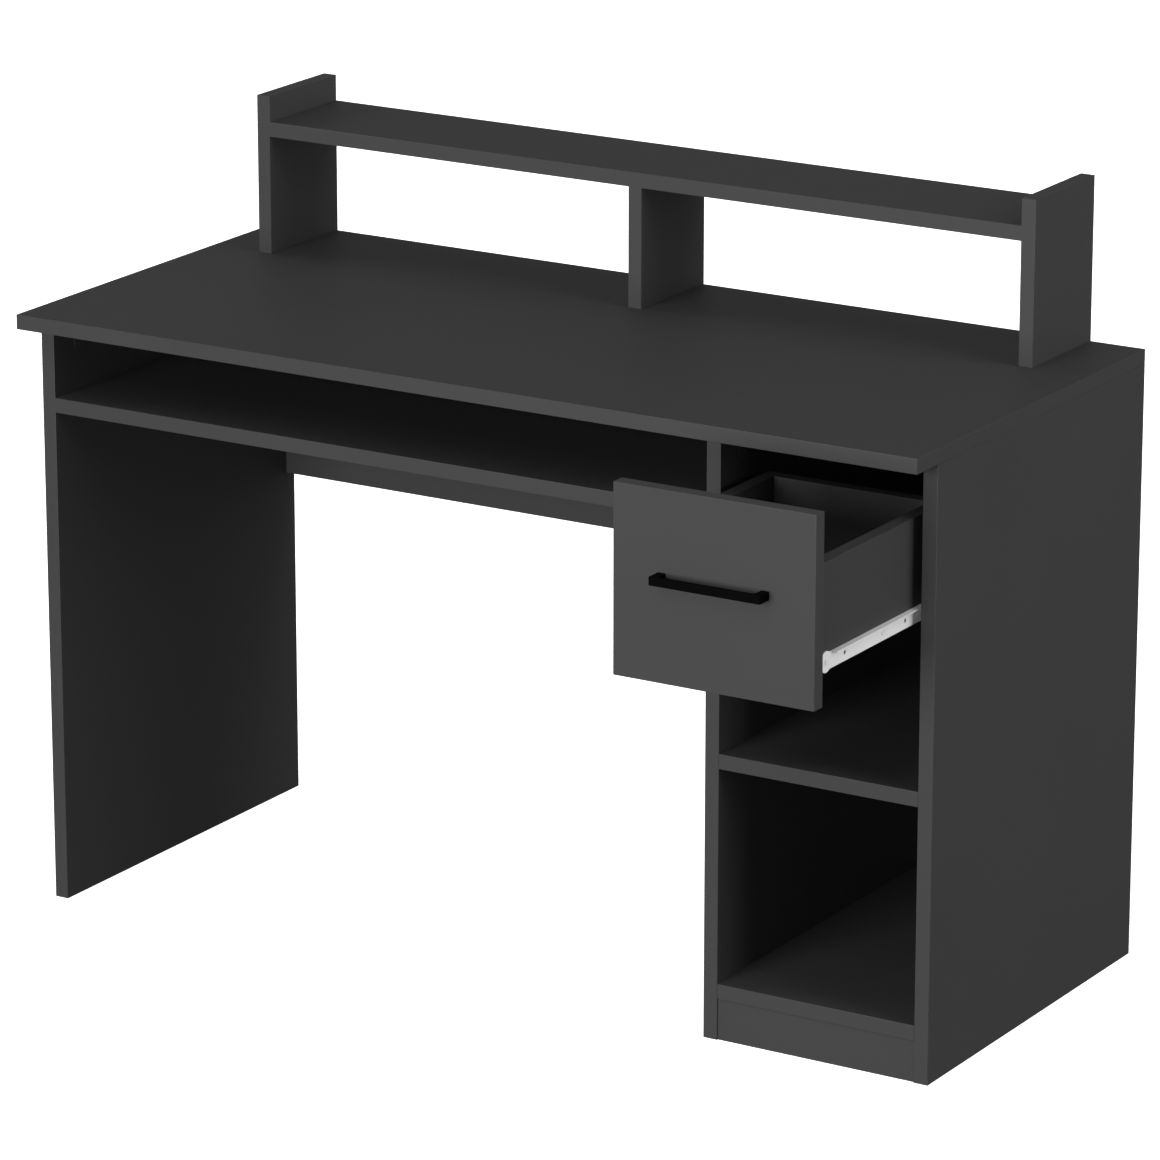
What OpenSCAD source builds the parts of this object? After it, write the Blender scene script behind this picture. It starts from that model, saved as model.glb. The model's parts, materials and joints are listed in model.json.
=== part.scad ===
// Computer desk with a keyboard shelf, an open pedestal with one drawer and a low hutch.
// Front is -Y, up is +Z. The drawer is drawn fully open, at the stop of its roller slides.

/* [Desk] */
// Width of the desktop, flush with the outer faces of the side panels
desk_w = 1200; // [900:1:1600]
// Depth of the desktop
desk_d = 548; // [540:1:760]
// Height of the side panels, floor to underside of the desktop
panel_h = 720; // [680:1:800]
// Thickness of the boards
board_t = 18; // [16:0.5:22]
// Front overhang of the desktop past the side panels
top_overhang = 48; // [5:1:90]
// Thickness of the edging strips
edging_t = 1; // [0.6:0.1:2]

/* [Leg room] */
// Clear height between the keyboard shelf and the desktop
tray_gap = 92; // [70:1:140]
// Depth of the keyboard shelf
tray_d = 400; // [250:1:430]
// Height of the rear panel, hung under the desktop
rear_panel_h = 300; // [200:1:500]

/* [Pedestal] */
// Outer width of the pedestal
pedestal_w = 290; // [260:1:450]
// Height of the upper face of the pedestal shelf above the floor
shelf_z = 343; // [200:1:400]
// Height of the plinth
plinth_h = 50; // [45:1:100]
// Set-back of the plinth behind the panel edges
plinth_recess = 2; // [0:0.5:30]
// Thickness of the back panel and of the drawer bottom
hdf_t = 3; // [2.5:0.1:4]

/* [Hutch] */
// Outer width of the hutch
hutch_w = 1060; // [800:1:1160]
// Depth of the hutch
hutch_d = 146; // [120:1:260]
// Height of the hutch uprights above the desktop
hutch_h = 196; // [180:1:400]
// Clear height under the hutch shelf
hutch_gap = 146; // [130:1:350]
// Left face of the divider, from the left end of the hutch
divider_x = 525; // [300:1:700]

/* [Drawer] */
// Height of the drawer front
front_h = 218; // [190:1:280]
// Gap round the drawer front
front_gap = 2; // [1.5:0.1:4]
// Length of the drawer box and of the slides
box_len = 300; // [290:1:400]
// Height of the drawer sides
side_h = 120; // [90:1:140]
// Thickness of the drawer sides and drawer back
side_t = 16; // [15:0.5:18]
// Height of the drawer sides above the lower edge of the front
box_rise = 34.5; // [20:0.5:50]
// How far the drawer is drawn out: the full travel of the slides
travel = 233; // [150:1:240]

/* [Handle] */
// Distance between the two handle screws
handle_span = 128; // [96:1:192]
// Height of the handle above the lower edge of the drawer front
handle_rise = 120; // [60:1:180]
// How far the handle stands out of the drawer front
handle_reach = 20; // [18:1:40]
// Height of the handle bar and width of its legs
handle_h = 10; // [8:0.5:14]
// Thickness of the handle bar, front to back
handle_t = 5; // [4:0.5:8]

/* [Slides] */
// Width of the gap between a drawer side and the cabinet, which the slide fills
slide_gap = 12.5; // [12:0.1:14]
// Thickness of the slide steel
steel_t = 1.2; // [1:0.1:1.4]
// Radius of the rollers
roller_r = 10.3; // [9:0.1:11]
// Width of the rollers
roller_w = 7; // [6:0.1:7.5]
// Running clearance round the roller axles
axle_fit = 0.05; // [0.02:0.01:0.1]
// Gap between the cabinet rollers and the closed drawer front
roller_set = 1.7; // [0.5:0.1:8]
// Distance of the drawer rollers from the rear end of the drawer
roller_end = 14; // [12:1:20]

/* [Hidden] */
$fn = 48;

t = board_t;
e = edging_t;
EPS = 0.01;
// Heights
top_z = panel_h + t;
tray_z = panel_h - tray_gap;
bottom_z = plinth_h + t;
// Front edges of the panels, and x of the inner faces
pf = top_overhang;
part_x = desk_w - pedestal_w;
bay_l = part_x + t;
bay_r = desk_w - t;
bay_x = (bay_l + bay_r) / 2;
// Front face of the pedestal back panel, let into grooves
back_y = desk_d - t;
groove_d = 6;
groove_fit = 0.1;
// Hutch
hx0 = (desk_w - hutch_w) / 2;
hx1 = hx0 + hutch_w;
hy = desk_d - hutch_d;
hd0 = hx0 + divider_x;
hs_z = top_z + hutch_gap;
// Drawer
df_y = pf - travel;
db_y = df_y + t;
df_x0 = bay_l + front_gap;
df_x1 = bay_r - front_gap;
df_z1 = panel_h - front_gap;
df_z0 = df_z1 - front_h;
dx0 = bay_l + slide_gap;
dx1 = bay_r - slide_gap;
dz0 = df_z0 + box_rise;
dz1 = dz0 + side_h;
dend = db_y + box_len;
bottom_groove = 12;
// Handle
hz = df_z0 + handle_rise;
h_front = df_y - handle_reach;
// Slides
web_z0 = dz0 - steel_t;
web_h = 19;
web_z1 = web_z0 + web_h;
drawer_flange_w = 8;
roll_gap = 0.3;
croll_y = pf + t + roller_set + roller_r;
croll_z = web_z1 - steel_t - roll_gap - roller_r;
track_gap = 1;
track_top = web_z1 - steel_t - track_gap;
droll_z = track_top - steel_t - 0.4 - roller_r;
droll_y = dend - roller_end;
track_z0 = droll_z - roller_r - roll_gap - steel_t;
track_w = 9.2;
member_set = 8;
member_y0 = pf + member_set;
member_y1 = member_y0 + box_len;
track_y0 = croll_y + roller_r + 2.7;
axle_r = 3;
head_r = 4.5;
ear_y = 24;
ear_r = 12;
stop_h = 5.6;
// Middle of the object, front to back, with the drawer open
mid_y = (desk_d + h_front) / 2;

// Joints. Each entry: point on the butt plane, direction into the butting board,
// direction of the face that the cam lock is let into.
X = [1, 0, 0]; Y = [0, 1, 0]; Z = [0, 0, 1];
cam_c = 34;
cam_r = 7.5;
cam_l = 12.5;
cam_fit = 0.1;
bolt_in = 11;
bolt_r = 2.5;
shank_r = 3;
shank_fit = 0.5;
dowel_r = 4;
dowel_fit = 0.05;
dowel_a = 10;
dowel_b = 22;

side_ys = [pf + 50, desk_d - 60];
desk_joints = concat(
    [for (y = side_ys) [[t / 2, y, panel_h], -Z, X]],
    [for (y = side_ys) [[part_x + t / 2, y, panel_h], -Z, X]],
    [for (y = side_ys) [[desk_w - t / 2, y, panel_h], -Z, -X]]);
rear_zs = [panel_h - 40, panel_h - rear_panel_h + 40];
rear_l = [for (z = rear_zs) [[t, desk_d - t / 2, z], X, Y]];
rear_r = [for (z = rear_zs) [[part_x, desk_d - t / 2, z], -X, Y]];
tray_ys = [pf + 50, pf + tray_d - 50];
tray_l = [for (y = tray_ys) [[t, y, tray_z - t / 2], X, -Z]];
tray_r = [for (y = tray_ys) [[part_x, y, tray_z - t / 2], -X, -Z]];
ped_ys = [pf + 50, back_y - 50];
shelf_l = [for (y = ped_ys) [[bay_l, y, shelf_z - t / 2], X, -Z]];
shelf_r = [for (y = ped_ys) [[bay_r, y, shelf_z - t / 2], -X, -Z]];
bot_l = [for (y = ped_ys) [[bay_l, y, bottom_z - t / 2], X, -Z]];
bot_r = [for (y = ped_ys) [[bay_r, y, bottom_z - t / 2], -X, -Z]];
plinth_y = pf + plinth_recess + t / 2;
plinth_l = [[[bay_l, plinth_y, plinth_h - 18], X, Y]];
plinth_r = [[[bay_r, plinth_y, plinth_h - 18], -X, Y]];
hutch_ys = [hy + 32, desk_d - 32];
hutch_mid = (hy + desk_d) / 2;
up_l = [for (y = hutch_ys) [[hx0 + t / 2, y, top_z], Z, -X]];
up_r = [for (y = hutch_ys) [[hx1 - t / 2, y, top_z], Z, -X]];
up_d = [for (y = hutch_ys) [[hd0 + t / 2, y, top_z], Z, -X]];
hs_l = [for (y = hutch_ys) [[hx0 + t, y, hs_z + t / 2], X, -Z]];
hs_r = [for (y = hutch_ys) [[hx1 - t, y, hs_z + t / 2], -X, -Z]];
drw_z = (dz0 + dz1) / 2;
drw_l = [[[dx0 + side_t / 2, db_y, drw_z], Y, X]];
drw_r = [[[dx1 - side_t / 2, db_y, drw_z], Y, -X]];

// Dowels. Each entry: point on the butt plane, direction into the butting board.
function shift(j, v) = [for (k = j) [k[0] + v, k[1]]];
in32 = [0, 32, 0];
dw_desk = [for (k = desk_joints) [k[0] + (k[0][1] > desk_d / 2 ? -in32 : in32), k[1]]];
dw_rear_l = [for (z = rear_zs) [[t, desk_d - t / 2, z + (z > panel_h - 100 ? -32 : 32)], X]];
dw_rear_r = [for (z = rear_zs) [[part_x, desk_d - t / 2, z + (z > panel_h - 100 ? -32 : 32)], -X]];
dw_tray_l = [[[t, pf + tray_d / 2, tray_z - t / 2], X]];
dw_tray_r = [[[part_x, pf + tray_d / 2, tray_z - t / 2], -X]];
ped_mid = (pf + back_y) / 2;
dw_ped_l = [[[bay_l, ped_mid, shelf_z - t / 2], X], [[bay_l, ped_mid, bottom_z - t / 2], X]];
dw_ped_r = [[[bay_r, ped_mid, shelf_z - t / 2], -X], [[bay_r, ped_mid, bottom_z - t / 2], -X]];
dw_plinth_l = [[[bay_l, plinth_y, 12], X]];
dw_plinth_r = [[[bay_r, plinth_y, 12], -X]];
dw_plinth_t = [for (s = [-1, 1]) [[bay_x + s * 60, plinth_y, plinth_h], -Z]];
dw_up = [for (x = [hx0 + t / 2, hd0 + t / 2, hx1 - t / 2]) [[x, hutch_mid, top_z], Z]];
dw_hs_l = [[[hx0 + t, hutch_mid, hs_z + t / 2], X]];
dw_hs_r = [[[hx1 - t, hutch_mid, hs_z + t / 2], -X]];
dw_div = [for (s = [-1, 1]) [[hd0 + t / 2, hutch_mid + s * 30, hs_z], -Z]];
dw_drw_l = [for (s = [-1, 1]) [[dx0 + side_t / 2, db_y, drw_z + s * 32], Y]];
dw_drw_r = [for (s = [-1, 1]) [[dx1 - side_t / 2, db_y, drw_z + s * 32], Y]];

case_joints = concat(desk_joints, rear_l, rear_r, tray_l, tray_r, shelf_l, shelf_r, bot_l, bot_r,
    plinth_l, plinth_r);
hutch_joints = concat(up_l, up_r, up_d, hs_l, hs_r);
drawer_joints = concat(drw_l, drw_r);
case_dw = concat(dw_desk, dw_rear_l, dw_rear_r, dw_tray_l, dw_tray_r, dw_ped_l, dw_ped_r,
    dw_plinth_l, dw_plinth_r, dw_plinth_t);
hutch_dw = concat(dw_up, dw_hs_l, dw_hs_r, dw_div);
drawer_dw = concat(dw_drw_l, dw_drw_r);

// Turns +Z to one of the six directions
function turn(d) = d == Z ? [0, 0, 0] : d == -Z ? [180, 0, 0] : d == X ? [0, 90, 0] :
    d == -X ? [0, -90, 0] : d == Y ? [-90, 0, 0] : [90, 0, 0];
module at(p, d) { translate(p) rotate(turn(d)) children(); }
module frame() { translate([-desk_w / 2, -mid_y, 0]) children(); }

// Cuts for the board that takes the bolts, and for the board that holds the cam locks
module bolt_cuts(js) {
    for (j = js) at(j[0], -j[1]) translate([0, 0, -EPS]) cylinder(r = bolt_r, h = bolt_in + EPS);
}
module cam_cuts(js, bt) {
    for (j = js) {
        at(j[0], j[1]) translate([0, 0, -EPS]) cylinder(r = shank_r + shank_fit, h = cam_c + EPS);
        at(j[0] + cam_c * j[1] + (bt / 2) * j[2], -j[2]) translate([0, 0, -EPS])
            cylinder(r = cam_r + cam_fit, h = cam_l + 0.3 + EPS);
    }
}
module dowel_cuts_a(ds) {
    for (d = ds) at(d[0], -d[1]) translate([0, 0, -EPS])
        cylinder(r = dowel_r + dowel_fit, h = dowel_a + EPS);
}
module dowel_cuts_b(ds) {
    for (d = ds) at(d[0], d[1]) translate([0, 0, -EPS])
        cylinder(r = dowel_r + dowel_fit, h = dowel_b + EPS);
}
// Fittings
module cam_bolts(js) {
    for (j = js) at(j[0], j[1]) rotate_extrude() polygon([[0, -bolt_in + 0.5], [bolt_r, -bolt_in + 0.5],
        [bolt_r, 0], [shank_r, 0], [shank_r, 24], [1.8, 25], [1.8, cam_c - 5], [3, cam_c - 3],
        [3, cam_c - 1], [0, cam_c - 1]]);
}
module cam_locks(js, bt) {
    for (j = js) difference() {
        at(j[0] + cam_c * j[1] + (bt / 2) * j[2], -j[2]) difference() {
            cylinder(r = cam_r, h = cam_l);
            for (a = [45, 135]) rotate([0, 0, a]) translate([-4, -0.7, -EPS]) cube([8, 1.4, 3]);
        }
        at(j[0] + cam_c * j[1], j[1]) cylinder(r = 3.6, h = 4 * cam_r, center = true);
    }
}
// Thin round covers stuck over the cam locks that would otherwise show
cover_r = 9.5;
cover_t = 0.4;
module cam_covers(js, bt) {
    for (j = js) at(j[0] + cam_c * j[1] + (bt / 2) * j[2], j[2]) cylinder(r = cover_r, h = cover_t);
}
module dowels(ds) {
    for (d = ds) at(d[0], d[1]) translate([0, 0, 0.5 - dowel_a])
        cylinder(r = dowel_r, h = dowel_a + dowel_b - 1);
}
module box(a, b) { translate(a) cube(b - a); }

// Screws of the slides: along X, head side given by s
slide_screw_r = 1.6;
slide_head_r = 3.4;
slide_head_t = 0.8;
cab_screw_ys = [pf + 52, pf + 142, pf + 262];
cab_screw_z = track_top - 12;
drw_screw_ys = [db_y + ear_y, db_y + 150, dend - 50];
drw_screw_z = web_z0 + web_h / 2;
module side_screw(x, y, z, s, l) {
    translate([x, y, z]) rotate([0, s * 90, 0]) {
        cylinder(r = slide_head_r, h = slide_head_t);
        translate([0, 0, -l]) cylinder(r = slide_screw_r, h = l + EPS);
    }
}
module screw_cut(x, y, z, s, l) {
    translate([x, y, z]) rotate([0, s * 90, 0]) translate([0, 0, -l])
        cylinder(r = slide_screw_r, h = l + 2);
}

// Grooves of the pedestal back panel
module back_groove(x) {
    box([x - groove_d, back_y - groove_fit, -1], [x + groove_d, back_y + hdf_t + groove_fit, panel_h + 1]);
}

module desktop() color("#3c3f43") frame() difference() {
    box([e, e, panel_h], [desk_w - e, desk_d - e, top_z]);
    bolt_cuts(desk_joints);
    bolt_cuts(concat(up_l, up_r, up_d));
    dowel_cuts_a(dw_desk);
    dowel_cuts_a(dw_up);
}
module left_side_panel() color("#3c3f43") frame() difference() {
    box([0, pf + e, 0], [t, desk_d, panel_h]);
    cam_cuts([desk_joints[0], desk_joints[1]], t);
    dowel_cuts_b([dw_desk[0], dw_desk[1]]);
    bolt_cuts(rear_l);
    dowel_cuts_a(dw_rear_l);
    bolt_cuts(tray_l);
    dowel_cuts_a(dw_tray_l);
}
module partition_panel() color("#3c3f43") frame() difference() {
    box([part_x, pf + e, 0], [bay_l, desk_d, panel_h]);
    cam_cuts([desk_joints[2], desk_joints[3]], t);
    dowel_cuts_b([dw_desk[2], dw_desk[3]]);
    bolt_cuts(concat(rear_r, tray_r, shelf_l, bot_l, plinth_l));
    dowel_cuts_a(dw_rear_r);
    dowel_cuts_a(dw_tray_r);
    for (d = concat(dw_ped_l, dw_plinth_l)) dowel_cuts_a([d]);
    back_groove(bay_l);
    for (y = cab_screw_ys) screw_cut(bay_l + steel_t, y, cab_screw_z, 1, 14);
}
module right_side_panel() color("#3c3f43") frame() difference() {
    box([bay_r, pf + e, 0], [desk_w, desk_d, panel_h]);
    cam_cuts([desk_joints[4], desk_joints[5]], t);
    dowel_cuts_b([dw_desk[4], dw_desk[5]]);
    bolt_cuts(concat(shelf_r, bot_r, plinth_r));
    for (d = concat(dw_ped_r, dw_plinth_r)) dowel_cuts_a([d]);
    back_groove(bay_r);
    for (y = cab_screw_ys) screw_cut(bay_r - steel_t, y, cab_screw_z, -1, 14);
}
module rear_panel() color("#3c3f43") frame() difference() {
    box([t, back_y, panel_h - rear_panel_h], [part_x, desk_d, panel_h]);
    cam_cuts(concat(rear_l, rear_r), t);
    dowel_cuts_b(concat(dw_rear_l, dw_rear_r));
}
module keyboard_shelf() color("#3c3f43") frame() difference() {
    box([t, pf + e, tray_z - t], [part_x, pf + tray_d, tray_z]);
    cam_cuts(concat(tray_l, tray_r), t);
    dowel_cuts_b(concat(dw_tray_l, dw_tray_r));
}
module pedestal_shelf() color("#3c3f43") frame() difference() {
    box([bay_l, pf + e, shelf_z - t], [bay_r, back_y, shelf_z]);
    cam_cuts(concat(shelf_l, shelf_r), t);
    dowel_cuts_b([dw_ped_l[0], dw_ped_r[0]]);
    for (p = nail_ps) nail_cut(p);
}
module pedestal_bottom() color("#3c3f43") frame() difference() {
    box([bay_l, pf + e, plinth_h], [bay_r, back_y, bottom_z]);
    cam_cuts(concat(bot_l, bot_r), t);
    dowel_cuts_b([dw_ped_l[1], dw_ped_r[1]]);
    dowel_cuts_a(dw_plinth_t);
    for (p = nail_ps) nail_cut(p);
}
module plinth() color("#3c3f43") frame() difference() {
    box([bay_l, pf + plinth_recess, 0], [bay_r, pf + plinth_recess + t, plinth_h]);
    cam_cuts(concat(plinth_l, plinth_r), t);
    dowel_cuts_b(concat(dw_plinth_l, dw_plinth_r, dw_plinth_t));
}
module pedestal_back_panel() color("#2f3236") frame() difference() {
    box([bay_l - groove_d + 0.5, back_y, plinth_h], [bay_r + groove_d - 0.5, back_y + hdf_t, panel_h]);
    for (p = nail_ps) nail_cut(p);
}
// Nails of the back panel, into the rear edges of the pedestal boards
nail_ps = [for (z = [shelf_z - t / 2, bottom_z - t / 2], x = [-90, 0, 90]) [bay_x + x, back_y + hdf_t, z]];
nail_r = 0.8;
module nail_cut(p) { at(p, -Y) translate([0, 0, -1]) cylinder(r = nail_r, h = 21, $fn = 24); }
module back_panel_nails() color("#b9bcc0") frame() for (p = nail_ps) at(p, -Y) rotate_extrude($fn = 24)
    polygon([[0, -0.8], [2, -0.8], [2, 0], [nail_r, 0], [nail_r, 18], [0, 20]]);

module upright(x, js, dw, h) difference() {
    box([x, hy + e, top_z], [x + t, desk_d, h]);
    cam_cuts(js, t);
    dowel_cuts_b([dw]);
}
module hutch_left_upright() color("#3c3f43") frame() difference() {
    upright(hx0, up_l, dw_up[0], top_z + hutch_h - e);
    bolt_cuts(hs_l);
    dowel_cuts_a(dw_hs_l);
}
module hutch_right_upright() color("#3c3f43") frame() difference() {
    upright(hx1 - t, up_r, dw_up[2], top_z + hutch_h - e);
    bolt_cuts(hs_r);
    dowel_cuts_a(dw_hs_r);
}
module hutch_divider() color("#3c3f43") frame() difference() {
    upright(hd0, up_d, dw_up[1], hs_z);
    dowel_cuts_b(dw_div);
}
module hutch_shelf() color("#3c3f43") frame() difference() {
    box([hx0 + t, hy + e, hs_z], [hx1 - t, desk_d, hs_z + t]);
    cam_cuts(concat(hs_l, hs_r), t);
    dowel_cuts_b(concat(dw_hs_l, dw_hs_r));
    dowel_cuts_a(dw_div);
}

// Edging strips
module desktop_edging() color("#46494e") frame() {
    box([0, 0, panel_h], [desk_w, e, top_z]);
    box([0, desk_d - e, panel_h], [desk_w, desk_d, top_z]);
    for (x = [0, desk_w - e]) box([x, e, panel_h], [x + e, desk_d - e, top_z]);
}
module panel_edging() color("#46494e") frame()
    for (x = [0, part_x, bay_r]) box([x, pf, 0], [x + t, pf + e, panel_h]);
module shelf_edging() color("#46494e") frame() {
    box([t, pf, tray_z - t], [part_x, pf + e, tray_z]);
    box([bay_l, pf, shelf_z - t], [bay_r, pf + e, shelf_z]);
    box([bay_l, pf, plinth_h], [bay_r, pf + e, bottom_z]);
}
module hutch_edging() color("#46494e") frame() {
    for (x = [hx0, hx1 - t]) {
        box([x, hy, top_z], [x + t, hy + e, top_z + hutch_h]);
        box([x, hy + e, top_z + hutch_h - e], [x + t, desk_d, top_z + hutch_h]);
    }
    box([hd0, hy, top_z], [hd0 + t, hy + e, hs_z]);
    box([hx0 + t, hy, hs_z], [hx1 - t, hy + e, hs_z + t]);
}
module drawer_front_edging() color("#46494e") frame() {
    for (z = [df_z0, df_z1 - e]) box([df_x0, df_y, z], [df_x1, db_y, z + e]);
    for (x = [df_x0, df_x1 - e]) box([x, df_y, df_z0 + e], [x + e, db_y, df_z1 - e]);
}

module case_cam_bolts() color("#b9bcc0") frame() cam_bolts(case_joints);
module case_cam_locks() color("#a6a8ab") frame() cam_locks(case_joints, t);
module case_cam_covers() color("#3a3d41") frame() cam_covers(desk_joints, t);
module hutch_cam_covers() color("#3a3d41") frame() cam_covers(concat(up_l, up_r, up_d), t);
module drawer_cam_covers() color("#3a3d41") frame() cam_covers(drawer_joints, side_t);
module case_dowels() color("#c9a877") frame() dowels(case_dw);
module hutch_cam_bolts() color("#b9bcc0") frame() cam_bolts(hutch_joints);
module hutch_cam_locks() color("#a6a8ab") frame() cam_locks(hutch_joints, t);
module hutch_dowels() color("#c9a877") frame() dowels(hutch_dw);
module drawer_cam_bolts() color("#b9bcc0") frame() cam_bolts(drawer_joints);
module drawer_cam_locks() color("#a6a8ab") frame() cam_locks(drawer_joints, side_t);
module drawer_dowels() color("#c9a877") frame() dowels(drawer_dw);

// Drawer
bolt_z = [dz0 + 40, dz1 - 30];
groove_z = dz0 + bottom_groove;
module bottom_cut() {
    box([dx0 + side_t - groove_d, db_y - groove_d, groove_z - groove_fit],
        [dx1 - side_t + groove_d, dend - side_t + groove_d, groove_z + hdf_t + groove_fit]);
}
module drawer_front() color("#3c3f43") frame() difference() {
    box([df_x0 + e, df_y, df_z0 + e], [df_x1 - e, db_y, df_z1 - e]);
    bolt_cuts(drawer_joints);
    dowel_cuts_a(drawer_dw);
    bottom_cut();
    for (s = [-1, 1]) translate([bay_x + s * handle_span / 2, df_y - 1, hz]) rotate(turn(Y))
        cylinder(r = 2.2, h = t + 2);
}
module drawer_side(x, js, dw, s) difference() {
    box([x, db_y, dz0], [x + side_t, dend, dz1]);
    cam_cuts(js, side_t);
    dowel_cuts_b(dw);
    bottom_cut();
    for (y = drw_screw_ys) screw_cut(s > 0 ? dx1 + steel_t : dx0 - steel_t, y, drw_screw_z, s, 12);
    for (z = bolt_z) back_screw(z, s);
}
module drawer_left_side() color("#3c3f43") frame() drawer_side(dx0, drw_l, dw_drw_l, -1);
module drawer_right_side() color("#3c3f43") frame() drawer_side(dx1 - side_t, drw_r, dw_drw_r, 1);
module drawer_back() color("#3c3f43") frame() difference() {
    box([dx0 + side_t, dend - side_t, dz0], [dx1 - side_t, dend, dz1]);
    bottom_cut();
    for (z = bolt_z, s = [-1, 1]) back_screw(z, s);
}
module drawer_bottom() color("#4a4d52") frame()
    box([dx0 + side_t - groove_d + 0.5, db_y - groove_d + 0.5, groove_z],
        [dx1 - side_t + groove_d - 0.5, dend - side_t + groove_d - 0.5, groove_z + hdf_t]);
// Countersunk screws through the drawer sides into the ends of the drawer back
module back_screw(z, s) translate([s > 0 ? dx1 : dx0, dend - side_t / 2, z]) rotate([0, -s * 90, 0])
    rotate_extrude($fn = 32) polygon([[0, 0], [4, 0], [1.8, 3], [1.8, 36], [0, 40]]);
module drawer_back_screws() color("#b9bcc0") frame() for (z = bolt_z, s = [-1, 1]) difference() {
    back_screw(z, s);
    translate([s > 0 ? dx1 : dx0, dend - side_t / 2, z]) rotate([0, -s * 90, 0])
        for (a = [45, 135]) rotate([0, 0, a]) translate([-2.2, -0.4, -EPS]) cube([4.4, 0.8, 1.2]);
}

// Handle: a flat bar on two square legs, one piece
module handle() color("#101112") frame() difference() {
    union() {
        box([bay_x - handle_span / 2 - handle_h / 2, h_front, hz - handle_h / 2],
            [bay_x + handle_span / 2 + handle_h / 2, h_front + handle_t, hz + handle_h / 2]);
        for (s = [-1, 1]) box([bay_x + s * handle_span / 2 - handle_h / 2, h_front + handle_t - EPS,
            hz - handle_h / 2], [bay_x + s * handle_span / 2 + handle_h / 2, df_y, hz + handle_h / 2]);
    }
    for (s = [-1, 1]) translate([bay_x + s * handle_span / 2, df_y - 11, hz]) rotate(turn(Y))
        cylinder(r = 2, h = 12);
}
module handle_screws() color("#b9bcc0") frame() for (s = [-1, 1])
    translate([bay_x + s * handle_span / 2, db_y, hz]) rotate(turn(Y)) difference() {
        rotate_extrude($fn = 32) polygon([[0, -t - 10], [2, -t - 10], [2, 0], [4.2, 0], [4.2, 1],
            [3.2, 2.4], [0, 2.6]]);
        for (a = [0, 90]) rotate([0, 0, a]) translate([-2, -0.45, 1.2]) cube([4, 0.9, 2]);
    }

// Slides, drawn for the right side of the drawer
module right_or_left(s) {
    if (s > 0) children(); else translate([2 * bay_x, 0, 0]) mirror([1, 0, 0]) children();
}
module cabinet_member() difference() {
    union() {
        box([bay_r - steel_t, member_y0, track_z0], [bay_r, member_y1, track_top]);
        for (z = [track_z0, track_top - steel_t])
            box([bay_r - track_w, track_y0, z], [bay_r - steel_t + EPS, member_y1, z + steel_t]);
        box([bay_r - track_w, droll_y - roller_r + 0.9 - steel_t, track_z0 + steel_t - EPS],
            [bay_r - steel_t - 2.4, droll_y - roller_r + 0.9, track_z0 + steel_t + stop_h]);
    }
    translate([bay_r - 5, croll_y, croll_z]) rotate(turn(X)) cylinder(r = axle_r, h = 10);
    for (y = cab_screw_ys) screw_cut(bay_r - steel_t, y, cab_screw_z, -1, 14);
    for (y = [pf + 97, pf + 222]) translate([bay_r - 5, y, cab_screw_z]) rotate(turn(X))
        cylinder(r = 2.5, h = 10);
}
module drawer_member() difference() {
    union() {
        box([dx1, db_y + 2, web_z0], [dx1 + steel_t, dend, web_z1]);
        box([dx1 - 10, db_y + ear_y + ear_r, web_z0], [dx1 + EPS, dend, web_z0 + steel_t]);
        box([dx1 + steel_t - EPS, db_y + ear_y + ear_r, web_z1 - steel_t],
            [dx1 + drawer_flange_w, dend, web_z1]);
        translate([dx1, db_y + ear_y, drw_screw_z]) rotate(turn(X)) cylinder(r = ear_r, h = steel_t);
    }
    translate([dx1 - 5, droll_y, droll_z]) rotate(turn(X)) cylinder(r = axle_r, h = 10);
    for (y = drw_screw_ys) screw_cut(dx1 + steel_t, y, drw_screw_z, 1, 12);
    for (y = [db_y + 65, db_y + 200]) translate([dx1 - 5, y, drw_screw_z]) rotate(turn(X))
        cylinder(r = 2.5, h = 10);
}
module cabinet_slide_left() color("#eceded") frame() right_or_left(-1) cabinet_member();
module cabinet_slide_right() color("#eceded") frame() cabinet_member();
module drawer_slide_left() color("#eceded") frame() right_or_left(-1) drawer_member();
module drawer_slide_right() color("#eceded") frame() drawer_member();
module cabinet_slide_screws() color("#d0d2d4") frame() for (s = [-1, 1]) right_or_left(s)
    for (y = cab_screw_ys) side_screw(bay_r - steel_t, y, cab_screw_z, -1, 13);
module drawer_slide_screws() color("#e2e3e4") frame() for (s = [-1, 1]) right_or_left(s)
    for (y = drw_screw_ys) side_screw(dx1 + steel_t, y, drw_screw_z, 1, 11);

// Rollers. The axle ends in a head that keeps the roller on.
croll_x = bay_r - steel_t - 0.5 - roller_w;
droll_x = dx1 + steel_t + 0.5;
module roller(x, y, z) translate([x, y, z]) rotate(turn(X)) rotate_extrude($fn = 72)
    polygon([[axle_r + axle_fit, 0], [5.5, 0], [5.5, 0.5], [8.5, 0.5], [8.5, 0], [roller_r - 0.5, 0],
        [roller_r, 0.5], [roller_r, roller_w - 0.5], [roller_r - 0.5, roller_w], [8.5, roller_w],
        [8.5, roller_w - 0.5], [5.5, roller_w - 0.5], [5.5, roller_w], [axle_r + axle_fit, roller_w]]);
module cabinet_axle() translate([bay_r, croll_y, croll_z]) rotate(turn(-X)) rotate_extrude()
    polygon([[0, 0], [axle_r, 0], [axle_r, steel_t + 0.8 + roller_w], [head_r, steel_t + 0.8 + roller_w],
        [head_r - 0.4, steel_t + 1.4 + roller_w], [0, steel_t + 1.4 + roller_w]]);
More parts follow.
